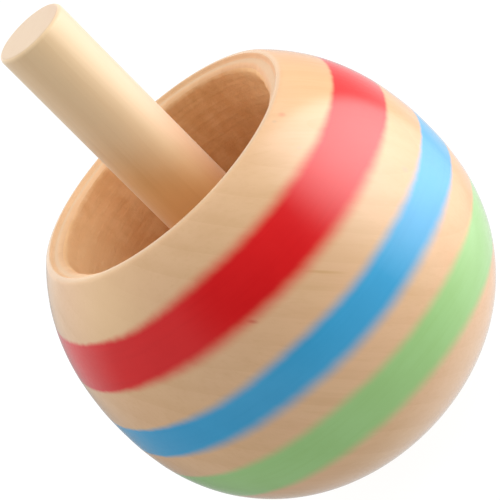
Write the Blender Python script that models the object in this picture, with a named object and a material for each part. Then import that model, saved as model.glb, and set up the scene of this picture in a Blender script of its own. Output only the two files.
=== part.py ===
"""A small wooden flip-over top: a hollowed ball, a glued dowel stem and three painted bands.

The top stands on its sanded foot at the origin, with +Z up along the stem. Lengths are in
metres. Every piece is turned: its section is drawn in the (radius, height) plane, and is then
swept once round Z into a closed solid.
"""

import math

import bmesh
import bpy

# The ball
BALL_RADIUS = 0.0166          # at the girth, where the ball is widest
GIRTH_HEIGHT = 0.0157         # above the table
ROUNDNESS = 2.2               # exponent of the outline: 2 is an ellipse, more is squarer
FOOT_RADIUS = 0.0020          # the sanded flat that the top rests on
RIM_HEIGHT = 0.0291
RIM_RADIUS = 0.0117           # the rim face's outer corner, before its edge is eased
RIM_EASING = 0.0004           # rounding of the rim's two edges

# The hollow
MOUTH_RADIUS = 0.0104
MOUTH_DROP = 0.0004           # the rim face slopes down towards the mouth by this much
HOLLOW_FLOOR = 0.0132         # height of the hollow's floor
FLOOR_RADIUS = 0.0094         # the hollow tapers in towards its floor
FLOOR_FILLET = 0.0030

# The dowel stem, and how far it goes into its socket in the ball
STEM_RADIUS = 0.0030          # a standard 6 mm dowel
STEM_TOP = 0.0437
STEM_EASING = 0.0006          # rounding of the sanded end
SOCKET_DEPTH = 0.0060
DOWEL_CHAMFER = 0.0006        # on the glued end

# Films, and the clearance between one piece and the next
GAP = 0.0003
PAINT_THICKNESS = 0.0004
GLUE_THICKNESS = 0.0004
RECESS_DEPTH = PAINT_THICKNESS + GAP

# Painted bands, from the lowest up: lower edge, upper edge and colour
BANDS = {
    "green_band": (0.0079, 0.0120, (0.36, 0.64, 0.24)),
    "blue_band": (0.0147, 0.0181, (0.02, 0.40, 0.73)),
    "red_band": (0.0215, 0.0259, (0.76, 0.01, 0.01)),
}

# How finely the round shapes are divided
BALL_SIDES = 60
DOWEL_SIDES = 40
OUTLINE_STEP = math.radians(5.0)
BAND_ROWS = 5
FILLET_STEPS = 6
EASING_STEPS = 3
MERGE_DISTANCE = 1e-6         # joins the sweep's first and last profile, and its points on Z
SHARP_ANGLE = math.radians(35.0)

# Finishes: colour and roughness
BALL_WOOD = ((0.80, 0.49, 0.27), 0.35)
DOWEL_WOOD = ((0.82, 0.58, 0.36), 0.38)
GLUE = ((0.80, 0.62, 0.35), 0.30)
PAINT_ROUGHNESS = 0.28


def clear_scene():
    for item in list(bpy.data.objects):
        bpy.data.objects.remove(item, do_unlink=True)


# The ball's outline is a superellipse, with its own reach above and below the girth.


def partner(share):
    """One coordinate of the outline from the other, both as shares of their half-widths."""
    return (1.0 - share ** ROUNDNESS) ** (1.0 / ROUNDNESS)


# The heights at which each half would close, which make the outline pass through the
# foot's edge at the bottom and the rim's outer corner at the top.
BELLY_REACH = GIRTH_HEIGHT / partner(FOOT_RADIUS / BALL_RADIUS)
DOME_REACH = (RIM_HEIGHT - GIRTH_HEIGHT) / partner(RIM_RADIUS / BALL_RADIUS)


def reach(rise):
    return DOME_REACH if rise > 0.0 else BELLY_REACH


def ball_radius(height):
    rise = height - GIRTH_HEIGHT
    return BALL_RADIUS * partner(abs(rise) / reach(rise))


def outline_angle(height):
    """Position along the outline, from -90 degrees at the bottom to +90 at the top."""
    rise = height - GIRTH_HEIGHT
    share = (abs(rise) / reach(rise)) ** (ROUNDNESS / 2.0)
    return math.copysign(math.asin(share), rise)


def outline_height(angle):
    side = math.sin(angle)
    return GIRTH_HEIGHT + math.copysign(reach(side) * abs(side) ** (2.0 / ROUNDNESS), side)


def outline_normal(height):
    """Angle of the outward normal above the horizontal, for a height above the girth."""
    share = (height - GIRTH_HEIGHT) / DOME_REACH
    steepness = (share / partner(share)) ** (ROUNDNESS - 1.0)
    return math.atan(steepness * BALL_RADIUS / DOME_REACH)


def ball_outline(low, high):
    """Points (radius, height) up the ball's outside between two heights, both included."""
    first = outline_angle(low)
    span = outline_angle(high) - first
    steps = max(1, round(span / OUTLINE_STEP))
    between = [outline_height(first + span * i / steps) for i in range(1, steps)]
    return [(ball_radius(height), height) for height in [low, *between, high]]


def band_outline(low, high, inset):
    """Points up a strip of the ball's outside, moved in towards the axis."""
    heights = [low + (high - low) * i / BAND_ROWS for i in range(BAND_ROWS + 1)]
    return [(ball_radius(height) - inset, height) for height in heights]


def arc(centre, radius, start, end, steps):
    """Points on a circular arc in the (radius, height) plane, with angles in radians."""
    points = []
    for i in range(steps + 1):
        angle = start + (end - start) * i / steps
        points.append((centre[0] + radius * math.cos(angle), centre[1] + radius * math.sin(angle)))
    return points


# The ball's section


def outside():
    """Up the ball from the foot to the rim, with a recess for each painted band."""
    points = []
    height = 0.0
    for low, high, _ in BANDS.values():
        points += ball_outline(height, low)
        points += band_outline(low, high, RECESS_DEPTH)
        height = high
    lean = outline_normal(RIM_HEIGHT)
    edge = RIM_HEIGHT - RIM_EASING * (1.0 - math.sin(lean))
    centre = (ball_radius(edge) - RIM_EASING * math.cos(lean), RIM_HEIGHT - RIM_EASING)
    corner = arc(centre, RIM_EASING, lean, math.pi / 2.0, EASING_STEPS)
    return points + ball_outline(height, edge) + corner[1:]


def hollow():
    """Round the mouth's edge, down the tapered wall, round the fillet and in along the floor."""
    mouth_centre = (MOUTH_RADIUS + RIM_EASING, RIM_HEIGHT - MOUTH_DROP - RIM_EASING)
    mouth = arc(mouth_centre, RIM_EASING, math.pi / 2.0, math.pi, EASING_STEPS)
    fillet_centre = (FLOOR_RADIUS - FLOOR_FILLET, HOLLOW_FLOOR + FLOOR_FILLET)
    return mouth + arc(fillet_centre, FLOOR_FILLET, 0.0, -math.pi / 2.0, FILLET_STEPS)


def stem_bottom():
    return HOLLOW_FLOOR - SOCKET_DEPTH


def socket():
    """Down the blind hole that takes the dowel, with room for the glue round it."""
    room = GLUE_THICKNESS + 2.0 * GAP
    radius = STEM_RADIUS + room
    floor = stem_bottom() - room
    return [(radius, HOLLOW_FLOOR), (radius, floor), (0.0, floor)]


def body_section():
    return [(0.0, 0.0)] + outside() + hollow() + socket()


# The other sections


def stem_section():
    foot = [
        (0.0, stem_bottom()),
        (STEM_RADIUS - DOWEL_CHAMFER, stem_bottom()),
        (STEM_RADIUS, stem_bottom() + DOWEL_CHAMFER),
    ]
    tip_centre = (STEM_RADIUS - STEM_EASING, STEM_TOP - STEM_EASING)
    return foot + arc(tip_centre, STEM_EASING, 0.0, math.pi / 2.0, EASING_STEPS) + [(0.0, STEM_TOP)]


def glue_section():
    """A thin cup round the dowel's foot, open at the hollow's floor."""
    inner = STEM_RADIUS + GAP
    outer = inner + GLUE_THICKNESS
    floor = stem_bottom() - GAP
    return [
        (0.0, floor - GLUE_THICKNESS),
        (outer, floor - GLUE_THICKNESS),
        (outer, HOLLOW_FLOOR),
        (inner, HOLLOW_FLOOR),
        (inner, floor),
        (0.0, floor),
    ]


def band_section(low, high):
    """A closed thin strip: up its outer face and down its inner one."""
    outer = band_outline(low + GAP, high - GAP, 0.0)
    inner = band_outline(low + GAP, high - GAP, PAINT_THICKNESS)
    return outer + inner[::-1] + outer[:1]


def material(name, colour, roughness):
    result = bpy.data.materials.new(name)
    result.use_nodes = True
    shader = result.node_tree.nodes["Principled BSDF"]
    shader.inputs["Base Color"].default_value = (*colour, 1.0)
    shader.inputs["Roughness"].default_value = roughness
    shader.inputs["Metallic"].default_value = 0.0
    return result


def turn(name, section, sides, finish):
    """Sweep a section round Z into a closed solid with its own material."""
    bm = bmesh.new()
    verts = [bm.verts.new((radius, 0.0, height)) for radius, height in section]
    edges = [bm.edges.new(pair) for pair in zip(verts, verts[1:])]
    bmesh.ops.spin(bm, geom=verts + edges, cent=(0.0, 0.0, 0.0), axis=(0.0, 0.0, 1.0),
                   angle=2.0 * math.pi, steps=sides)
    bmesh.ops.remove_doubles(bm, verts=bm.verts, dist=MERGE_DISTANCE)
    bmesh.ops.recalc_face_normals(bm, faces=bm.faces)
    mesh = bpy.data.meshes.new(name)
    bm.to_mesh(mesh)
    bm.free()
    mesh.shade_smooth()
    mesh.set_sharp_from_angle(angle=SHARP_ANGLE)
    mesh.materials.append(material(name, *finish))
    piece = bpy.data.objects.new(name, mesh)
    bpy.context.scene.collection.objects.link(piece)


def build():
    clear_scene()
    turn("turned_body", body_section(), BALL_SIDES, BALL_WOOD)
    turn("stem", stem_section(), DOWEL_SIDES, DOWEL_WOOD)
    turn("stem_glue", glue_section(), DOWEL_SIDES, GLUE)
    for name, (low, high, colour) in BANDS.items():
        turn(name, band_section(low, high), BALL_SIDES, (colour, PAINT_ROUGHNESS))


build()
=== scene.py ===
"""The looks of the wooden flip-over top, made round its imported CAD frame.

Every piece is a turned surface: a row of (radius, height) points swept round Z, with small
uneven marks added while it is swept. Lengths are in metres, in the frame's own axes.
"""

import math

import bpy
import numpy as np
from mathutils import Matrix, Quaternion, Vector


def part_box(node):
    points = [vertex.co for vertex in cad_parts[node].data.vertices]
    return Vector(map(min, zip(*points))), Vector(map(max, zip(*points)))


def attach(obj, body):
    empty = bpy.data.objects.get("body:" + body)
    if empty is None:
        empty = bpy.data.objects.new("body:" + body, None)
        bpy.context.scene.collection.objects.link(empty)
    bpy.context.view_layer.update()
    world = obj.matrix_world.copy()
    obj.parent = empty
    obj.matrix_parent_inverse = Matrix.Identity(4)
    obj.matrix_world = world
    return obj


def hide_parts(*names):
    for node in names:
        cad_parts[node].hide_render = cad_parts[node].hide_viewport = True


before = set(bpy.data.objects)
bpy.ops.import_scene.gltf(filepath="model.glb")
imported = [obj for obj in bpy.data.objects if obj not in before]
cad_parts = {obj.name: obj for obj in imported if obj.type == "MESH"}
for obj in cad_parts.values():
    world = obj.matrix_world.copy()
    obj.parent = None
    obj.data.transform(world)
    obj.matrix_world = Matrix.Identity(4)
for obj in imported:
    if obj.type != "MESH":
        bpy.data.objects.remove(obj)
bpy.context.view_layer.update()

MM = 0.001
TAU = 2.0 * math.pi

# ---------------------------------------------------------------- sizes taken from the frame

BALL_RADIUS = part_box("turned_body")[1].x
RIM_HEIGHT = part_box("turned_body")[1].z
STEM_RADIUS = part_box("stem")[1].x
STEM_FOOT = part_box("stem")[0].z
STEM_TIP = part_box("stem")[1].z
HOLLOW_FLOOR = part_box("stem_glue")[1].z
SOCKET_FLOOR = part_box("stem_glue")[0].z
PAINT_GAP = 0.3 * MM          # the CAD's clearance above and below each band

# The ball's outline, in shares of its own sizes
ROUNDNESS = 2.2               # exponent of the superellipse
GIRTH_HEIGHT = 0.5395 * RIM_HEIGHT
FOOT_RADIUS = 0.1205 * BALL_RADIUS
RIM_RADIUS = 0.7048 * BALL_RADIUS
MOUTH_RADIUS = 0.6265 * BALL_RADIUS
FLOOR_RADIUS = 0.5663 * BALL_RADIUS
FLOOR_FILLET = 3.0 * MM
RIM_EASING = 0.8 * MM
MOUTH_EASING = 0.75 * MM
MOUTH_DROP = 0.3 * MM
STEM_EASING = 0.35 * MM

# Where the torn grain of the mouth is worst, as angles round Z
TORN_SIDES = (math.radians(-6.0), math.radians(196.0))
TORN_REACH = 0.75             # scale of the torn lip, in millimetres

# Paler patches on the hollow's wall, partly fuzz and partly painted light where the softbox
# falls on it: angle round Z, depth below the rim and reach
FUZZ_AND_LIGHT_PATCHES = (
    (math.radians(12.0), 2.0 * MM, 6.5 * MM),
    (math.radians(162.0), 3.0 * MM, 8.5 * MM),
)

# How far each band's lower and upper edges stray at the left and at the right
BAND_DRIFT = {
    "red": ((0.0, 0.2 * MM), (-0.6 * MM, 0.0)),
    "blue": ((0.0, 0.28 * MM), (-0.3 * MM, 0.28 * MM)),
    "green": ((0.0, 0.0), (-0.1 * MM, 0.1 * MM)),
}

# Fineness of the swept surfaces
BALL_SIDES = 320
STEM_SIDES = 128
ROW_STEP = 0.22 * MM

# Camera and framing
CAMERA_DISTANCE = 14.37 * BALL_RADIUS
CAMERA_ELEVATION = math.radians(23.11)
CAMERA_ROLL = math.radians(44.93)      # the stem points to the upper left
CAMERA_PAN = math.radians(0.498)
CAMERA_TILT = math.radians(0.555)
SENSOR_WIDTH = 36.0
LENS = 223.5

# The clear lacquer, and what little the wood and paint under it reflect on their own
COAT_ROUGHNESS = 0.085
BASE_SPECULAR = 0.08

# Turning lines left by the lathe, how much they add to the wood's height, and its bump
LATHE_STEP = 0.35 * MM
LATHE_SHARE = 0.5
WOOD_BUMP = 0.25

# The turn that brings the ball's slanting fibres to Z
BALL_LEAN = (0.0, math.radians(40.0), 0.0)


# ---------------------------------------------------------------- outlines

def partner(share):
    """One coordinate of the ball's outline from the other, as shares of their half-widths."""
    return (1.0 - share ** ROUNDNESS) ** (1.0 / ROUNDNESS)


BELLY_REACH = GIRTH_HEIGHT / partner(FOOT_RADIUS / BALL_RADIUS)
DOME_REACH = (RIM_HEIGHT - GIRTH_HEIGHT) / partner(RIM_RADIUS / BALL_RADIUS)


def ball_radius(height):
    rise = height - GIRTH_HEIGHT
    return BALL_RADIUS * partner(abs(rise) / (DOME_REACH if rise > 0.0 else BELLY_REACH))


def outline_normal(height):
    """Angle of the ball's outward normal above the horizontal."""
    rise = height - GIRTH_HEIGHT
    reach = DOME_REACH if rise > 0.0 else BELLY_REACH
    share = abs(rise) / reach
    steepness = (share / partner(share)) ** (ROUNDNESS - 1.0)
    return math.copysign(math.atan(steepness * BALL_RADIUS / reach), rise)


def line(start, end):
    """Evenly spaced points from start up to, but not including, end."""
    steps = max(1, round(math.dist(start, end) / ROW_STEP))
    first, last = np.array(start), np.array(end)
    return [tuple(first + (last - first) * i / steps) for i in range(steps)]


def arc(centre, radius, start, end, steps=10):
    """Points on a circular arc, angles in radians, both ends included."""
    angles = np.linspace(start, end, steps + 1)
    return [(centre[0] + radius * math.cos(a), centre[1] + radius * math.sin(a)) for a in angles]


def ball_rows(low, high):
    """Points up the ball's outside at an even spacing along the surface."""
    fine = np.linspace(low, high, 2000)
    radii = np.array([ball_radius(height) for height in fine])
    along = np.concatenate([[0.0], np.cumsum(np.hypot(np.diff(radii), np.diff(fine)))])
    steps = max(2, round(along[-1] / ROW_STEP))
    heights = np.interp(np.linspace(0.0, along[-1], steps + 1), along, fine)
    return [(ball_radius(height), height) for height in heights]


def outside_rows():
    """From the centre of the foot, up the ball and over the rim's outer edge."""
    lean = outline_normal(RIM_HEIGHT)
    edge = RIM_HEIGHT - RIM_EASING * (1.0 - math.sin(lean))
    centre = (ball_radius(edge) - RIM_EASING * math.cos(lean), RIM_HEIGHT - RIM_EASING)
    foot = line((0.0, 0.0), (FOOT_RADIUS, 0.0))
    return foot + ball_rows(0.0, edge) + arc(centre, RIM_EASING, lean, math.pi / 2.0)[1:]


def rim_rows(outside):
    """Across the slightly dished rim face to the mouth."""
    mouth = (MOUTH_RADIUS + MOUTH_EASING, RIM_HEIGHT - MOUTH_DROP)
    return line(outside[-1], mouth)[1:]


def hollow_rows():
    """Round the mouth's edge, down the wall and in along the floor to the dowel's socket."""
    mouth_centre = (MOUTH_RADIUS + MOUTH_EASING, RIM_HEIGHT - MOUTH_DROP - MOUTH_EASING)
    mouth = arc(mouth_centre, MOUTH_EASING, math.pi / 2.0, math.pi)
    fillet_centre = (FLOOR_RADIUS - FLOOR_FILLET, HOLLOW_FLOOR + FLOOR_FILLET)
    fillet = arc(fillet_centre, FLOOR_FILLET, 0.0, -math.pi / 2.0, 20)
    socket = (STEM_RADIUS + 0.1 * MM, HOLLOW_FLOOR)
    wall = line(mouth[-1], fillet[0])[1:]
    floor = line(fillet[-1], socket)[1:]
    return mouth + wall + fillet + floor + [socket, (socket[0], SOCKET_FLOOR), (0.0, SOCKET_FLOOR)]


# ---------------------------------------------------------------- uneven marks

def ripple(seed, angle, along, lobes, pitch, waves=14):
    """Smooth noise of about unit size, periodic in angle, from sines with seeded phases.

    lobes is the range of waves in one turn, and pitch the shortest wave along the profile.
    """
    draw = np.random.default_rng(seed)
    total = np.zeros(np.broadcast(angle, along).shape)
    for _ in range(waves):
        turns = draw.integers(lobes[0], lobes[1] + 1)
        slant = draw.uniform(-1.0, 1.0) * TAU / pitch
        total += np.sin(turns * angle + slant * along + draw.uniform(0.0, TAU))
    return total * math.sqrt(2.0 / waves)


def bell(value, centre, width):
    """A smooth bump, 1 at the centre and about 0.02 two widths away."""
    return np.exp(-((value - centre) / width) ** 2)


def turn_distance(angle, centre):
    """Signed angle from centre, kept within half a turn."""
    return (angle - centre + math.pi) % TAU - math.pi


def mouth_wear(angle, radius, height):
    """Torn end grain round the mouth: where the cutter left the wood it lifted the fibres.

    The lifted fibres stand into the hollow, most of all on the first of TORN_SIDES and far
    less on the second.
    """
    edge = bell(radius, MOUTH_RADIUS, 0.8 * MM) * bell(height, RIM_HEIGHT - 1.1 * MM, 1.1 * MM)
    torn = bell(turn_distance(angle, TORN_SIDES[0]), 0.0, 0.42)
    torn += 0.25 * bell(turn_distance(angle, TORN_SIDES[1]), 0.0, 0.4)
    lifted = 0.85 + 0.12 * ripple(11, angle, height, (5, 20), 5.0 * MM, 16)
    rough = ripple(12, angle, height, (30, 80), 1.2 * MM, 24)
    return -edge * (TORN_REACH * torn * lifted + (0.008 + 0.010 * torn) * rough) * MM


def tool_marks(angle, height):
    """Rings and chatter that the boring cutter left on the hollow's wall."""
    ring_depth = 0.010
    chatter_depth = 0.010
    inside = np.clip((RIM_HEIGHT - 0.8 * MM - height) / MM, 0.0, 1.0)
    rings = ripple(21, angle, height, (0, 2), 0.7 * MM, 10)
    chatter = ripple(22, angle, height, (6, 60), 1.5 * MM, 24)
    return inside * (ring_depth * rings + chatter_depth * chatter) * MM


# ---------------------------------------------------------------- swept meshes

def sweep(name, rows, sides, shape=None, loop=False):
    """Sweep rows of (radius, height) once round Z into one closed mesh.

    shape(angle, radius, height) may return moved radii and heights. Rows on the axis become
    one point each. loop joins the last row to the first, for rings.
    """
    rows = np.array(rows)
    angle = np.arange(sides) * TAU / sides
    grid_angle, radius = np.meshgrid(angle, rows[:, 0])
    height = np.repeat(rows[:, 1][:, None], sides, axis=1)
    if shape:
        radius, height = shape(grid_angle, radius, height)
    points = np.stack([radius * np.cos(grid_angle), radius * np.sin(grid_angle), height], axis=-1)
    verts = []
    first = []
    for i, row in enumerate(rows):
        first.append(len(verts))
        verts += [(0.0, 0.0, row[1])] if row[0] == 0.0 else points[i].tolist()
    faces = []
    last = len(rows) if loop else len(rows) - 1
    for i in range(last):
        low, high = first[i], first[(i + 1) % len(rows)]
        low_pole, high_pole = rows[i][0] == 0.0, rows[(i + 1) % len(rows)][0] == 0.0
        for j in range(sides):
            k = (j + 1) % sides
            if low_pole:
                faces.append((low, high + k, high + j))
            elif high_pole:
                faces.append((low + j, low + k, high))
            else:
                faces.append((low + j, low + k, high + k, high + j))
    mesh = bpy.data.meshes.new(name)
    mesh.from_pydata(verts, [], faces)
    mesh.validate()
    mesh.shade_smooth()
    piece = bpy.data.objects.new(name, mesh)
    bpy.context.scene.collection.objects.link(piece)
    return piece


def place(piece, node):
    """The piece stands for its CAD node and moves with the one rigid body."""
    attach(piece, "root")
    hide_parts(node)
    return piece


def paint_faces(piece, index, chosen):
    """Give the material at index to the faces whose centre passes the test."""
    for face in piece.data.polygons:
        if chosen(face.center):
            face.material_index = index


# ---------------------------------------------------------------- material helpers

class Nodes:
    """Short calls for building a node tree."""

    def __init__(self, tree):
        self.tree = tree

    def add(self, kind, inputs=None, **settings):
        node = self.tree.nodes.new(kind)
        for key, value in settings.items():
            setattr(node, key, value)
        for key, value in (inputs or {}).items():
            self.feed(node.inputs[key], value)
        return node

    def feed(self, socket, value):
        if isinstance(value, bpy.types.NodeSocket):
            self.tree.links.new(value, socket)
        else:
            socket.default_value = value

    def math(self, operation, *values):
        node = self.add("ShaderNodeMath", operation=operation)
        for socket, value in zip(node.inputs, values):
            self.feed(socket, value)
        return node.outputs[0]

    def ramp(self, value, low, high, out_low=0.0, out_high=1.0):
        """A smooth step from out_low to out_high as value goes from low to high."""
        node = self.add("ShaderNodeMapRange", interpolation_type="SMOOTHSTEP")
        for key, number in zip(("Value", "From Min", "From Max", "To Min", "To Max"),
                               (value, low, high, out_low, out_high)):
            self.feed(node.inputs[key], number)
        return node.outputs["Result"]

    def mix(self, factor, a, b, blend="MIX"):
        node = self.add("ShaderNodeMix", data_type="RGBA", blend_type=blend)
        self.feed(node.inputs["Factor"], factor)
        self.feed(node.inputs[6], a)
        self.feed(node.inputs[7], b)
        return node.outputs[2]

    def noise(self, vector, scale, detail=2.0, roughness=0.5):
        node = self.add("ShaderNodeTexNoise", inputs={
            "Vector": vector, "Scale": scale, "Detail": detail, "Roughness": roughness})
        return node.outputs["Fac"]

    def mapped(self, vector, scale=(1.0, 1.0, 1.0), rotation=(0.0, 0.0, 0.0),
               location=(0.0, 0.0, 0.0)):
        node = self.add("ShaderNodeMapping", inputs={
            "Vector": vector, "Scale": scale, "Rotation": rotation, "Location": location})
        return node.outputs["Vector"]


def rgb(red, green, blue):
    return (red, green, blue, 1.0)


# ---------------------------------------------------------------- wood

# Small marks on the ball, each named for what it looks like: angle and height, half-length
# along the fibres, half-width across them, colour and strength
BALL_SPECKS = (
    # a paler patch of wood below the lip, at the front left
    (math.radians(-142.0), 27.0 * MM, 7.5 * MM, 6.5 * MM, (0.94, 0.65, 0.37), 0.7),
    # paint drawn along the grain
    (math.radians(-102.0), 21.4 * MM, 1.1 * MM, 0.22 * MM, (0.50, 0.13, 0.08), 0.55),
    # dark vein
    (math.radians(-80.5), 20.5 * MM, 2.6 * MM, 0.19 * MM, (0.62, 0.33, 0.12), 0.5),
    # stray paint
    (math.radians(-45.0), 28.4 * MM, 0.45 * MM, 0.35 * MM, (0.80, 0.26, 0.17), 0.5),
    (math.radians(-41.0), 19.3 * MM, 0.5 * MM, 0.4 * MM, (0.76, 0.34, 0.24), 0.4),
    # dust under the lacquer
    (math.radians(-49.0), 28.6 * MM, 0.3 * MM, 0.25 * MM, (0.50, 0.40, 0.30), 0.28),
    (math.radians(-55.0), 26.6 * MM, 0.3 * MM, 0.25 * MM, (0.50, 0.40, 0.30), 0.28),
)

# Scales of the wood's noise, in waves per metre: across the fibres twice, and along them
FIBRE_SCALE = (3800.0, 3800.0, 130.0)
STREAK_SCALE = (900.0, 900.0, 28.0)
PORE_SCALE = (2600.0, 2600.0, 420.0)

# Tints and colours of the hollow's bare wood. The first tint is partly bare wood and partly
# painted shade of the hollow, the second is painted shade further down it, and the last is
# partly fuzz and partly painted light of the softbox on its wall
BARE_WOOD_AND_SHADE_TINT = (0.92, 0.80, 0.64)
PAINTED_DEPTH_SHADE = (0.90, 0.84, 0.76)
CUTTER_STREAK = (0.52, 0.27, 0.10)
PALE_TUFT = (0.95, 0.66, 0.38)
FUZZ_AND_LIGHT_TINT = (0.93, 0.63, 0.345)

# Painted shade on the dowel's foot inside the hollow: its tint, and the levels where it starts
# and is full
PAINTED_FOOT_SHADE = ((0.87, 0.70, 0.48), RIM_HEIGHT + 4.8 * MM, RIM_HEIGHT - 2.0 * MM)


def wood_group(name, early, late, fleck, lean, pith, ring_step, end_tone, painted_light_side, specks=()):
    """A node group that gives pale wood its colour, roughness and surface height.

    The fibres run along Z after a turn by lean. pith is where the tree's centre lies, across
    the fibres, and ring_step is the width of a growth ring. The ninth argument is painted
    light: the tint of the piece's side towards +X, where the softbox falls on it, and how far
    out along X it's full. Each of specks is a small mark on the ball: its angle and height,
    its half-length along the fibres and half-width across them, its colour and its strength.
    """
    group = bpy.data.node_groups.new(name, "ShaderNodeTree")
    for label, kind in (("Color", "NodeSocketColor"), ("Roughness", "NodeSocketFloat"),
                        ("Height", "NodeSocketFloat")):
        group.interface.new_socket(name=label, in_out="OUTPUT", socket_type=kind)
    n = Nodes(group)
    place_in = n.add("ShaderNodeTexCoord").outputs["Object"]
    along = n.mapped(place_in, rotation=lean)
    # Growth rings: dark, thin late wood at the end of each pale ring
    centred = n.mapped(along, location=(-pith[0], -pith[1], 0.0))
    rings = n.add("ShaderNodeTexWave", wave_type="RINGS", rings_direction="Z", wave_profile="SAW",
                  inputs={"Vector": centred, "Scale": TAU / ring_step / 20.0, "Distortion": 1.6,
                          "Detail": 3.0, "Detail Scale": 0.35, "Detail Roughness": 0.55})
    late_wood = n.ramp(rings.outputs["Fac"], 0.35, 1.0)
    # Fibres: long thin streaks, and a slow drift of tone
    fibres = n.noise(n.mapped(along, scale=FIBRE_SCALE), 1.0, 3.0, 0.6)
    streaks = n.noise(n.mapped(along, scale=STREAK_SCALE), 1.0, 4.0, 0.6)
    drift = n.noise(place_in, 95.0, 3.0, 0.5)
    pores = n.noise(n.mapped(along, scale=PORE_SCALE), 1.0, 1.0, 0.4)
    colour = n.mix(n.math("MULTIPLY", late_wood, 0.22), rgb(*early), rgb(*late))
    colour = n.mix(n.ramp(streaks, 0.35, 0.75, 0.0, 0.25), colour, rgb(*late))
    colour = n.mix(n.ramp(drift, 0.42, 0.62, 0.0, 0.40), colour, rgb(*fleck))
    colour = n.mix(n.ramp(fibres, 0.45, 0.80, 0.0, 0.22), colour, rgb(*late))
    colour = n.mix(n.ramp(pores, 0.70, 0.78, 0.0, 0.35), colour, rgb(*fleck))
    # Painted light: the side towards +X, where the softbox falls, gets its own tint
    sideways = n.add("ShaderNodeSeparateXYZ", inputs={"Vector": place_in}).outputs["X"]
    tint, full = painted_light_side
    colour = n.mix(n.ramp(sideways, 0.4 * full, full), colour, rgb(*tint), "MULTIPLY")
    # End grain, where the surface faces along the axis, drinks the lacquer and looks duller
    normal = n.add("ShaderNodeNewGeometry").outputs["Normal"]
    local = n.add("ShaderNodeVectorTransform", vector_type="NORMAL", convert_from="WORLD",
                  convert_to="OBJECT", inputs={"Vector": normal}).outputs["Vector"]
    axes = n.add("ShaderNodeSeparateXYZ", inputs={"Vector": local})
    facing = n.math("ABSOLUTE", axes.outputs["Z"])
    end = n.ramp(facing, 0.86, 0.97)
    colour = n.mix(n.math("MULTIPLY", end, 0.7), colour, rgb(*end_tone))
    for angle, at, long, wide, tint, strength in specks:
        mark = speck_mask(n, place_in, lean, angle, at, long, wide, strength)
        colour = n.mix(mark, colour, rgb(*tint))
    roughness = n.math("ADD", n.ramp(fibres, 0.3, 0.8, 0.42, 0.54), n.math("MULTIPLY", end, 0.12))
    height = n.math("ADD", n.math("MULTIPLY", fibres, 0.6), n.math("MULTIPLY", late_wood, -0.25))
    height = n.math("ADD", height, n.math("MULTIPLY", pores, -0.3))
    out = n.add("NodeGroupOutput")
    for label, value in (("Color", colour), ("Roughness", roughness), ("Height", height)):
        n.feed(out.inputs[label], value)
    return group


def speck_mask(n, place_in, lean, angle, height, long, wide, strength):
    """Strength in the middle of a mark on the ball, and 0 beyond its length and width."""
    radius = ball_radius(height)
    spot = (radius * math.cos(angle), radius * math.sin(angle), height)
    offset = n.add("ShaderNodeVectorMath", operation="SUBTRACT", inputs={0: place_in, 1: spot})
    turned = n.mapped(offset.outputs[0], rotation=lean)
    shares = n.mapped(turned, scale=(1.0 / wide, 1.0 / wide, 1.0 / long))
    away = n.add("ShaderNodeVectorMath", operation="LENGTH", inputs={0: shares}).outputs["Value"]
    return n.ramp(away, 0.0, 1.0, strength, 0.0)


def finish_shader(n, shader, height, bump, distance=0.02 * MM):
    """Bump from a height socket into the shader, and the shader into the output."""
    normal = n.add("ShaderNodeBump", inputs={
        "Height": height, "Strength": bump, "Distance": distance})
    n.feed(shader.inputs["Normal"], normal.outputs["Normal"])
    out = n.add("ShaderNodeOutputMaterial")
    n.feed(out.inputs["Surface"], shader.outputs["BSDF"])


def new_material(name):
    material = bpy.data.materials.new(name)
    material.use_nodes = True
    material.node_tree.nodes.clear()
    return material, Nodes(material.node_tree)


def lathe_lines(n, step):
    """Faint turning lines: height noise that only changes along Z."""
    place_in = n.add("ShaderNodeTexCoord").outputs["Object"]
    return n.noise(n.mapped(place_in, scale=(6.0, 6.0, 1.0 / step)), 1.0, 2.0, 0.6)


def lacquered_wood(name, group, coat, coat_roughness, sheen=0.0, foot_shade=None):
    """Clear-coated wood. The last argument is a painted shade: a colour that darkens it low down
    in the hollow, where shade falls, and its two heights.

    The sheen stands for fine raised fibres under thin lacquer.
    """
    material, n = new_material(name)
    wood = n.add("ShaderNodeGroup", node_tree=group)
    colour = wood.outputs["Color"]
    if foot_shade:
        tint, top, bottom = foot_shade
        place_in = n.add("ShaderNodeTexCoord").outputs["Object"]
        axes = n.add("ShaderNodeSeparateXYZ", inputs={"Vector": place_in})
        # The painted shade's edge slants across the dowel, staying lower on its lit +X side, and
        # wanders a little
        level = n.math("MULTIPLY_ADD", axes.outputs["X"], 1.2, axes.outputs["Z"])
        level = n.math("MULTIPLY_ADD", n.noise(place_in, 420.0, 2.0), 1.2 * MM, level)
        # Painted shade: the dowel darkens towards its foot, where the hollow shades it
        colour = n.mix(n.ramp(level, top, bottom), colour, rgb(*tint), "MULTIPLY")
    turning = n.math("MULTIPLY", lathe_lines(n, LATHE_STEP), LATHE_SHARE)
    height = n.math("ADD", wood.outputs["Height"], turning)
    shader = n.add("ShaderNodeBsdfPrincipled", inputs={
        "Base Color": colour, "Roughness": wood.outputs["Roughness"],
        "Specular IOR Level": BASE_SPECULAR, "Coat Weight": coat, "Coat Roughness": coat_roughness,
        "Sheen Weight": sheen, "Sheen Roughness": 0.5})
    finish_shader(n, shader, height, WOOD_BUMP)
    return material


def wall_distance(n, place_in, side, depth):
    """Distance from the spot on the hollow's wall at this angle and depth below the rim."""
    spot = (MOUTH_RADIUS * math.cos(side), MOUTH_RADIUS * math.sin(side), RIM_HEIGHT - depth)
    away = n.add("ShaderNodeVectorMath", operation="DISTANCE", inputs={0: place_in, 1: spot})
    return away.outputs["Value"]


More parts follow.
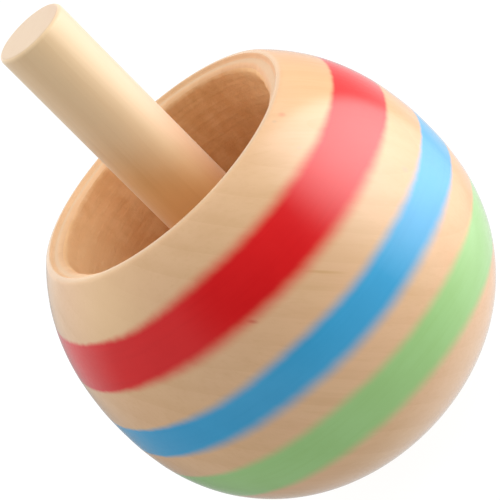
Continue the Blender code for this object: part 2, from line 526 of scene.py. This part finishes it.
def bored_wood(group):
    """The bare wood of the hollow, with fuzz and cutter streaks and no lacquer.

    It is pale where the fibres are torn, just inside the mouth. Its tint is partly painted shade
    of the hollow, it is darker further down as painted shade, and its paler patches are partly
    painted light of the softbox.
    """
    material, n = new_material("bored_wood")
    place_in = n.add("ShaderNodeTexCoord").outputs["Object"]
    wood = n.add("ShaderNodeGroup", node_tree=group)
    streak = n.noise(n.mapped(place_in, scale=(160.0, 160.0, 1900.0)), 1.0, 4.0, 0.65)
    fuzz = n.noise(place_in, 4200.0, 3.0, 0.7)
    # The bare wood's tone, partly painted shade of the whole hollow
    colour = n.mix(1.0, wood.outputs["Color"], rgb(*BARE_WOOD_AND_SHADE_TINT), "MULTIPLY")
    colour = n.mix(n.ramp(streak, 0.35, 0.7, 0.0, 0.25), colour, rgb(*CUTTER_STREAK))
    # Painted shade: darker further down the hollow
    level = n.add("ShaderNodeSeparateXYZ", inputs={"Vector": place_in}).outputs["Z"]
    deep = n.ramp(level, RIM_HEIGHT - MM, RIM_HEIGHT - 9.0 * MM)
    colour = n.mix(deep, colour, rgb(*PAINTED_DEPTH_SHADE), "MULTIPLY")
    tufts = n.noise(n.mapped(place_in, scale=(900.0, 900.0, 500.0)), 1.0, 3.0, 0.6)
    colour = n.mix(n.ramp(tufts, 0.35, 0.70, 0.0, 0.20), colour, rgb(*PALE_TUFT))
    pale = n.math("MULTIPLY_ADD", tufts, 1.4 * MM, level)
    for side, reach in zip(TORN_SIDES, (1.1 * MM, 0.5 * MM)):
        away = wall_distance(n, place_in, side, MM)
        pale = n.math("ADD", pale, n.ramp(away, MM, 6.0 * MM, reach, 0.0))
    pale = n.ramp(pale, RIM_HEIGHT - 0.5 * MM, RIM_HEIGHT + 0.6 * MM)
    colour = n.mix(pale, colour, wood.outputs["Color"])
    # Paler patches on the wall: partly fuzz, partly painted light of the softbox
    for side, depth, reach in FUZZ_AND_LIGHT_PATCHES:
        away = wall_distance(n, place_in, side, depth)
        fuzz_and_light = n.ramp(away, 0.5 * MM, reach, 0.85, 0.0)
        colour = n.mix(fuzz_and_light, colour, rgb(*FUZZ_AND_LIGHT_TINT))
    height = n.math("ADD", n.math("MULTIPLY", streak, 1.4), n.math("MULTIPLY", fuzz, 0.8))
    shader = n.add("ShaderNodeBsdfPrincipled", inputs={
        "Base Color": colour, "Roughness": n.ramp(fuzz, 0.3, 0.7, 0.62, 0.8),
        "Specular IOR Level": 0.15})
    finish_shader(n, shader, height, 0.6, 0.08 * MM)
    return material


# ---------------------------------------------------------------- paint

# Each paint's colour, and the deeper tone of its clouds and brush marks
PAINTS = {
    "red": ((0.78, 0.010, 0.012), (0.70, 0.005, 0.008)),
    "blue": ((0.048, 0.41, 0.74), (0.032, 0.355, 0.67)),
    "green": ((0.37, 0.66, 0.25), (0.33, 0.60, 0.20)),
}

# Half-width of the paint's edges: at the back, and at the front below and above
CRISP_EDGE = 0.20 * MM
FEATHERED_LOWER = 0.82 * MM
FEATHERED_UPPER = 0.68 * MM


def band_mask(n, low, high, drift):
    """1 where the band's paint lies and 0 off it, with edges that follow the brush and grain.

    The edges are crisp at the back and feathered at the front, the lower one more than the
    upper. drift is how far each edge strays from a true ring, at the left and at the right.
    """
    place_in = n.add("ShaderNodeTexCoord").outputs["Object"]
    axes = n.add("ShaderNodeSeparateXYZ", inputs={"Vector": place_in})
    sway = n.math("MULTIPLY_ADD", n.noise(place_in, 130.0, 1.0), 0.24 * MM, -0.12 * MM)
    fibres = n.mapped(n.mapped(place_in, rotation=BALL_LEAN), scale=(1500.0, 1500.0, 220.0))
    bleed = n.math("MULTIPLY_ADD", n.noise(fibres, 1.0, 2.0), 0.20 * MM, -0.10 * MM)
    level = n.math("ADD", n.math("ADD", axes.outputs["Z"], sway), bleed)
    front = n.ramp(axes.outputs["Y"], -0.3 * BALL_RADIUS, -0.95 * BALL_RADIUS)
    near, far = 0.1 * BALL_RADIUS, 0.7 * BALL_RADIUS
    edges = []
    for height, side, feathered, (left, right) in (
            (low, 1.0, FEATHERED_LOWER, drift[0]), (high, -1.0, FEATHERED_UPPER, drift[1])):
        soft = n.math("MULTIPLY_ADD", front, feathered - CRISP_EDGE, CRISP_EDGE)
        to_left = n.ramp(axes.outputs["X"], -near, -far, 0.0, left)
        to_right = n.ramp(axes.outputs["X"], near, far, 0.0, right)
        stray = n.math("ADD", to_left, to_right)
        inward = n.math("MULTIPLY_ADD", n.math("SUBTRACT", level, stray), side, -side * height)
        edges.append(n.ramp(n.math("DIVIDE", inward, soft), -1.0, 1.0))
    return n.math("MULTIPLY", *edges)


def painted(name, group, colour, deep, low, high, drift):
    """Brushed paint that fades into the wood at its two edges, under clear lacquer."""
    material, n = new_material(name)
    place_in = n.add("ShaderNodeTexCoord").outputs["Object"]
    wood = n.add("ShaderNodeGroup", node_tree=group)
    brush = n.noise(n.mapped(place_in, scale=(150.0, 150.0, 2600.0)), 1.0, 3.0, 0.6)
    cloud = n.noise(place_in, 210.0, 3.0, 0.55)
    tone = n.mix(n.ramp(cloud, 0.35, 0.65, 0.0, 0.45), rgb(*colour), rgb(*deep))
    tone = n.mix(n.ramp(brush, 0.45, 0.75, 0.0, 0.35), tone, rgb(*deep))
    mask = band_mask(n, low, high, drift)
    show = n.mix(mask, wood.outputs["Color"], tone)
    turning = n.math("MULTIPLY", lathe_lines(n, LATHE_STEP), LATHE_SHARE)
    bare = n.math("ADD", wood.outputs["Height"], turning)
    filled = n.math("MULTIPLY_ADD", bare, 0.5, n.math("MULTIPLY", brush, 0.4))
    height = n.math("MULTIPLY_ADD", mask, n.math("SUBTRACT", filled, bare), bare)
    shader = n.add("ShaderNodeBsdfPrincipled", inputs={
        "Base Color": show, "Roughness": wood.outputs["Roughness"],
        "Specular IOR Level": BASE_SPECULAR, "Coat Weight": 1.0, "Coat Roughness": COAT_ROUGHNESS})
    finish_shader(n, shader, height, WOOD_BUMP)
    return material


def dried_glue():
    material, n = new_material("dried_glue")
    place_in = n.add("ShaderNodeTexCoord").outputs["Object"]
    cloud = n.noise(place_in, 900.0, 3.0, 0.6)
    colour = n.mix(cloud, rgb(0.72, 0.50, 0.24), rgb(0.85, 0.70, 0.42))
    shader = n.add("ShaderNodeBsdfPrincipled", inputs={
        "Base Color": colour, "Roughness": n.ramp(cloud, 0.3, 0.7, 0.22, 0.38)})
    finish_shader(n, shader, n.noise(place_in, 1500.0, 2.0), 0.4, 0.05 * MM)
    return material


# ---------------------------------------------------------------- pieces

def make_ball(lacquered, bored, satin):
    outside = outside_rows()
    rows = outside + rim_rows(outside) + hollow_rows()

    def shape(angle, radius, height):
        hollow = (radius < MOUTH_RADIUS + MOUTH_EASING) & (height > HOLLOW_FLOOR - 0.01 * MM)
        socket = radius < STEM_RADIUS + 0.2 * MM
        marks = np.where(hollow & ~socket, tool_marks(angle, height), 0.0)
        marks += np.where(height > GIRTH_HEIGHT, mouth_wear(angle, radius, height), 0.0)
        return radius + marks, height

    ball = sweep("ball", rows, BALL_SIDES, shape)
    for material in (lacquered, bored, satin):
        ball.data.materials.append(material)
    crease = outside[-1][0]
    rim_bottom = RIM_HEIGHT - MOUTH_DROP - MOUTH_EASING
    wall_radius = MOUTH_RADIUS + 0.3 * MOUTH_EASING
    wall_bottom = SOCKET_FLOOR - 0.1 * MM
    wall_top = RIM_HEIGHT - MOUTH_DROP - 0.4 * MOUTH_EASING

    def on_rim(centre):
        return math.hypot(centre.x, centre.y) < crease and centre.z > rim_bottom

    def in_hollow(centre):
        return math.hypot(centre.x, centre.y) < wall_radius and wall_bottom < centre.z < wall_top

    paint_faces(ball, 2, on_rim)
    paint_faces(ball, 1, in_hollow)
    return place(ball, "turned_body")


def make_stem(material):
    chamfer = 0.6 * MM
    centre = (STEM_RADIUS - STEM_EASING, STEM_TIP - STEM_EASING)
    foot = (STEM_RADIUS - chamfer, STEM_FOOT)
    shoulder = (STEM_RADIUS, STEM_FOOT + chamfer)
    tip = arc(centre, STEM_EASING, 0.0, math.pi / 2.0, 12)
    rows = line((0.0, STEM_FOOT), foot) + line(foot, shoulder) + line(shoulder, tip[0]) + tip
    rows += line(tip[-1], (0.0, STEM_TIP))[1:] + [(0.0, STEM_TIP)]

    def shape(angle, radius, height):
        # A machined dowel: faint flats round it and a slow sway along it
        flats = ripple(31, angle, height, (2, 7), 30.0 * MM, 8)
        fibres = ripple(32, angle, height, (40, 64), 12.0 * MM, 12)
        return radius * (1.0 + 0.0012 * flats + 0.0004 * fibres), height

    stem = sweep("dowel", rows, STEM_SIDES, shape)
    stem.data.materials.append(material)
    return place(stem, "stem")


def make_glue(material):
    """A squeezed-out bead in the corner round the dowel, on top of the glue in the socket."""
    inner = STEM_RADIUS - 0.02 * MM
    skirt = STEM_RADIUS + 0.08 * MM
    reach = 0.9 * MM
    corner = (inner + reach, HOLLOW_FLOOR + reach)
    fillet = arc(corner, reach, -math.pi / 2.0, -math.pi, 14)
    rows = line((inner, SOCKET_FLOOR + MM), (skirt, SOCKET_FLOOR + MM)) + [
        (skirt, SOCKET_FLOOR + MM), (skirt, HOLLOW_FLOOR - 0.1 * MM),
        (inner + reach, HOLLOW_FLOOR - 0.1 * MM)] + fillet

    def shape(angle, radius, height):
        bead = height > HOLLOW_FLOOR - 0.2 * MM
        spread = 1.0 + 0.22 * ripple(41, angle, 0.0 * height, (1, 5), MM, 6)
        moved = inner + (radius - inner) * spread
        lifted = HOLLOW_FLOOR + (height - HOLLOW_FLOOR) * spread
        return np.where(bead, moved, radius), np.where(height > HOLLOW_FLOOR, lifted, height)

    glue = sweep("glue_bead", rows, STEM_SIDES, shape, loop=True)
    glue.data.materials.append(material)
    return place(glue, "stem_glue")


def make_band(name, node, material, low, high):
    """A paint film that lies on the ball and dips into it beyond both painted edges."""
    film = 0.012 * MM
    depth = 0.10 * MM
    margin = 0.98 * MM
    skin = ball_rows(low - margin, high + margin)
    outer = []
    for radius, height in skin:
        inside = min(height - low + margin, high + margin - height) / margin
        rise = film * min(1.0, 4.0 * inside - 1.0)
        lean = outline_normal(height)
        outer.append((radius + rise * math.cos(lean), height + rise * math.sin(lean)))
    inner = [(radius - depth, height) for radius, height in skin[::-1]]
    band = sweep(name, outer + inner, BALL_SIDES, loop=True)
    band.data.materials.append(material)
    # Shade the film exactly like the ball under it, so that its edges don't show
    normals = []
    for vertex in band.data.vertices:
        angle = math.atan2(vertex.co.y, vertex.co.x)
        lean = outline_normal(vertex.co.z)
        level = math.cos(lean)
        normals.append((level * math.cos(angle), level * math.sin(angle), math.sin(lean)))
    band.data.normals_split_custom_set_from_vertices(normals)
    return place(band, node)


# ---------------------------------------------------------------- stage, light and camera

KEY_DIFFUSE = 2.75            # the softbox's radiance, as it lights the colours
KEY_MIRRORED = 4.9            # and as it shows in the lacquer

# Radiance of the white studio as it lights the colours: azimuth, elevation and strength of
# each broad part, which falls off with the cosine of the angle from its middle
ROOM = 0.17
ROOM_PARTS = (
    (0.0, 90.0, 0.85),        # ceiling
    (0.0, -90.0, 0.75),       # table
    (180.0, 0.0, 1.50),       # backdrop
    (-90.0, 0.0, 0.17),       # wall at the left
    (90.0, 0.0, 0.14),        # wall at the right
)

# What the lacquer mirrors, which isn't what lights the colours: azimuth, elevation, angle out
# to which a part reaches, angle within which it is at full strength, and strength
MIRRORED_ROOM = 0.42
MIRRORED_PARTS = (
    (-120.0, -40.0, 60.0, 20.0, -0.23),   # the shaded side of the room, at the left
    (150.0, -45.0, 50.0, 10.0, 0.42),     # the lit table behind, at the right
    (-150.0, 15.0, 45.0, 10.0, 0.40),     # the backdrop behind, at the left
    (180.0, 18.0, 35.0, 8.0, 0.40),       # the backdrop behind the rim
    (-5.0, 20.0, 55.0, 20.0, -0.38),      # the dark behind the camera
)

# The softbox at the ball's right. Its sizes and offsets are in shares of its distance: across,
# from the near side to the far one, and along
SOFTBOX_AZIMUTH = 92.0
SOFTBOX_TURN = math.radians(35.0)      # in its own plane
SOFTBOX_SIZE = (1.905, 2.8)
SOFTBOX_OFFSET = (-0.347, 0.3)
SOFTBOX_GLOW = (("X", 0.656, 0.326), ("Y", 0.5, 0.25))     # brightest at, half as bright after
SOFTBOX_FAR_SIDE = 0.88                # where it starts to fade out towards the far side
DIFFUSE_DISTANCE = 0.30
MIRRORED_DISTANCE = 0.28

FLOOR_HALF_WIDTH = 3.0
FLOOR_GLOW = 0.93
FLOOR_REFLECTANCE = 0.12


def direction_of(azimuth, elevation):
    """Unit vector, with azimuth 0 in front of the ball and 90 at its right, in degrees."""
    a, e = math.radians(azimuth), math.radians(elevation)
    return Vector((math.sin(a) * math.cos(e), -math.cos(a) * math.cos(e), math.sin(e)))


def add_floor():
    size = FLOOR_HALF_WIDTH
    mesh = bpy.data.meshes.new("floor")
    corners = [(-size, -size, 0.0), (size, -size, 0.0), (size, size, 0.0), (-size, size, 0.0)]
    mesh.from_pydata(corners, [], [(0, 1, 2, 3)])
    floor = bpy.data.objects.new("floor", mesh)
    bpy.context.scene.collection.objects.link(floor)
    material, n = new_material("pale_floor")
    glow = n.add("ShaderNodeEmission", inputs={
        "Color": rgb(1.0, 1.0, 1.0), "Strength": FLOOR_GLOW})
    grey = rgb(FLOOR_REFLECTANCE, FLOOR_REFLECTANCE, FLOOR_REFLECTANCE)
    soft = n.add("ShaderNodeBsdfDiffuse", inputs={"Color": grey})
    both = n.add("ShaderNodeAddShader")
    n.feed(both.inputs[0], glow.outputs[0])
    n.feed(both.inputs[1], soft.outputs[0])
    n.feed(n.add("ShaderNodeOutputMaterial").inputs["Surface"], both.outputs[0])
    mesh.materials.append(material)
    # The studio's light comes from below as well, so the floor only catches the shadow
    floor.visible_diffuse = False
    floor.visible_glossy = False
    floor.visible_shadow = False


def add_world():
    """The studio: plain white to the camera, with one light for colours and one for lacquer.

    The lacquer mirrors MIRRORED_PARTS and the colours are lit by ROOM_PARTS, so the two aren't
    one real room.
    """
    world = bpy.data.worlds.new("studio")
    bpy.context.scene.world = world
    world.use_nodes = True
    world.node_tree.nodes.clear()
    n = Nodes(world.node_tree)
    direction = n.add("ShaderNodeTexCoord").outputs["Generated"]
    ray = n.add("ShaderNodeLightPath")

    def towards(azimuth, elevation):
        return n.add("ShaderNodeVectorMath", operation="DOT_PRODUCT", inputs={
            0: direction, 1: direction_of(azimuth, elevation)}).outputs["Value"]

    room = ROOM
    for azimuth, elevation, strength in ROOM_PARTS:
        part = n.math("MAXIMUM", towards(azimuth, elevation), 0.0)
        room = n.math("MULTIPLY_ADD", part, strength, room)
    mirrored = MIRRORED_ROOM
    for azimuth, elevation, reach, core, strength in MIRRORED_PARTS:
        part = n.ramp(towards(azimuth, elevation), math.cos(math.radians(reach)),
                      math.cos(math.radians(core)), 0.0, strength)
        mirrored = n.math("ADD", mirrored, part)
    change = n.math("SUBTRACT", mirrored, room)
    strength = n.math("MULTIPLY_ADD", ray.outputs["Is Glossy Ray"], change, room)
    strength = n.math("MAXIMUM", strength, ray.outputs["Is Camera Ray"])
    shade = n.add("ShaderNodeBackground", inputs={
        "Color": rgb(1.0, 1.0, 1.0), "Strength": strength})
    n.feed(n.add("ShaderNodeOutputWorld").inputs["Surface"], shade.outputs[0])


def add_softbox(name, distance, radiance):
    """The softbox at the ball's right: brightest in one place, with one crisp far side."""
    away = direction_of(SOFTBOX_AZIMUTH, 0.0)
    rotation = away.to_track_quat("Z", "Y") @ Quaternion((0.0, 0.0, 1.0), SOFTBOX_TURN)
    data = bpy.data.lights.new(name, "AREA")
    data.shape = "RECTANGLE"
    data.size, data.size_y = SOFTBOX_SIZE[0] * distance, SOFTBOX_SIZE[1] * distance
    data.energy = radiance * math.pi * data.size * data.size_y
    light = bpy.data.objects.new(name, data)
    light.rotation_mode = "QUATERNION"
    light.rotation_quaternion = rotation
    middle = away + rotation @ Vector((*SOFTBOX_OFFSET, 0.0))
    light.location = Vector((0.0, 0.0, GIRTH_HEIGHT)) + middle * distance
    light.visible_camera = False
    bpy.context.scene.collection.objects.link(light)
    data.use_nodes = True
    data.node_tree.nodes.clear()
    n = Nodes(data.node_tree)
    place_on = n.add("ShaderNodeNewGeometry").outputs["Parametric"]
    spot = n.add("ShaderNodeSeparateXYZ", inputs={"Vector": place_on})
    squares = []
    for axis, brightest, half_width in SOFTBOX_GLOW:
        offset = n.math("DIVIDE", n.math("SUBTRACT", spot.outputs[axis], brightest), half_width)
        squares.append(n.math("MULTIPLY", offset, offset))
    strength = n.math("POWER", 0.5, n.math("ADD", *squares))
    strength = n.math("MULTIPLY", strength, n.ramp(spot.outputs["X"], 1.0, SOFTBOX_FAR_SIDE))
    glow = n.add("ShaderNodeEmission", inputs={
        "Color": rgb(1.0, 1.0, 1.0), "Strength": strength})
    n.feed(n.add("ShaderNodeOutputLight").inputs["Surface"], glow.outputs[0])
    return light


def add_lights():
    """The softbox twice: once for the colours, and in front of that once for the lacquer."""
    add_softbox("softbox_diffuse", DIFFUSE_DISTANCE, KEY_DIFFUSE).visible_glossy = False
    add_softbox("softbox_mirrored", MIRRORED_DISTANCE, KEY_MIRRORED).visible_diffuse = False


def add_camera():
    away = Vector((0.0, -math.cos(CAMERA_ELEVATION), math.sin(CAMERA_ELEVATION)))
    data = bpy.data.cameras.new("camera")
    data.sensor_width = SENSOR_WIDTH
    data.lens = LENS
    data.clip_start, data.clip_end = 0.01, 20.0
    camera = bpy.data.objects.new("camera", data)
    camera.location = Vector((0.0, 0.0, GIRTH_HEIGHT)) + away * CAMERA_DISTANCE
    camera.rotation_mode = "QUATERNION"
    roll = Quaternion((0.0, 0.0, 1.0), -CAMERA_ROLL)
    pan = Quaternion((0.0, 1.0, 0.0), CAMERA_PAN)
    tilt = Quaternion((1.0, 0.0, 0.0), CAMERA_TILT)
    camera.rotation_quaternion = away.to_track_quat("Z", "Y") @ roll @ pan @ tilt
    bpy.context.scene.collection.objects.link(camera)
    bpy.context.scene.camera = camera


# ---------------------------------------------------------------- build

def build():
    # The +X tints of both grains are painted light where the softbox falls
    ball_grain = wood_group(
        "ball_grain", early=(0.82, 0.528, 0.298), late=(0.69, 0.405, 0.20),
        fleck=(0.84, 0.517, 0.308), lean=BALL_LEAN, pith=(0.028, -0.012), ring_step=2.1 * MM,
        end_tone=(0.73, 0.515, 0.325), painted_light_side=((1.0, 0.84, 0.70), 0.95 * BALL_RADIUS),
        specks=BALL_SPECKS)
    dowel_grain = wood_group(
        "dowel_grain", early=(0.90, 0.655, 0.385), late=(0.79, 0.52, 0.265),
        fleck=(0.92, 0.665, 0.40), lean=(0.0, 0.0, 0.0), pith=(-0.021, 0.016), ring_step=1.5 * MM,
        end_tone=(0.605, 0.41, 0.242), painted_light_side=((0.97, 0.875, 0.91), 0.95 * STEM_RADIUS))
    lacquered = lacquered_wood("lacquered_ball", ball_grain, 1.0, COAT_ROUGHNESS)
    bored = bored_wood(ball_grain)
    satin = lacquered_wood("satin_rim", ball_grain, 0.3, 0.40)
    make_ball(lacquered, bored, satin)
    make_stem(lacquered_wood("lacquered_dowel", dowel_grain, 0.8, 0.38, 0.35, PAINTED_FOOT_SHADE))
    make_glue(dried_glue())
    for colour, (tone, deep) in PAINTS.items():
        node = colour + "_band"
        name = colour + "_paint"
        low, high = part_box(node)
        bottom, top = low.z - PAINT_GAP, high.z + PAINT_GAP
        material = painted(name, ball_grain, tone, deep, bottom, top, BAND_DRIFT[colour])
        make_band(name + "_film", node, material, bottom, top)
    add_floor()
    add_world()
    add_lights()
    add_camera()
    bpy.context.scene.view_settings.view_transform = "Standard"


build()
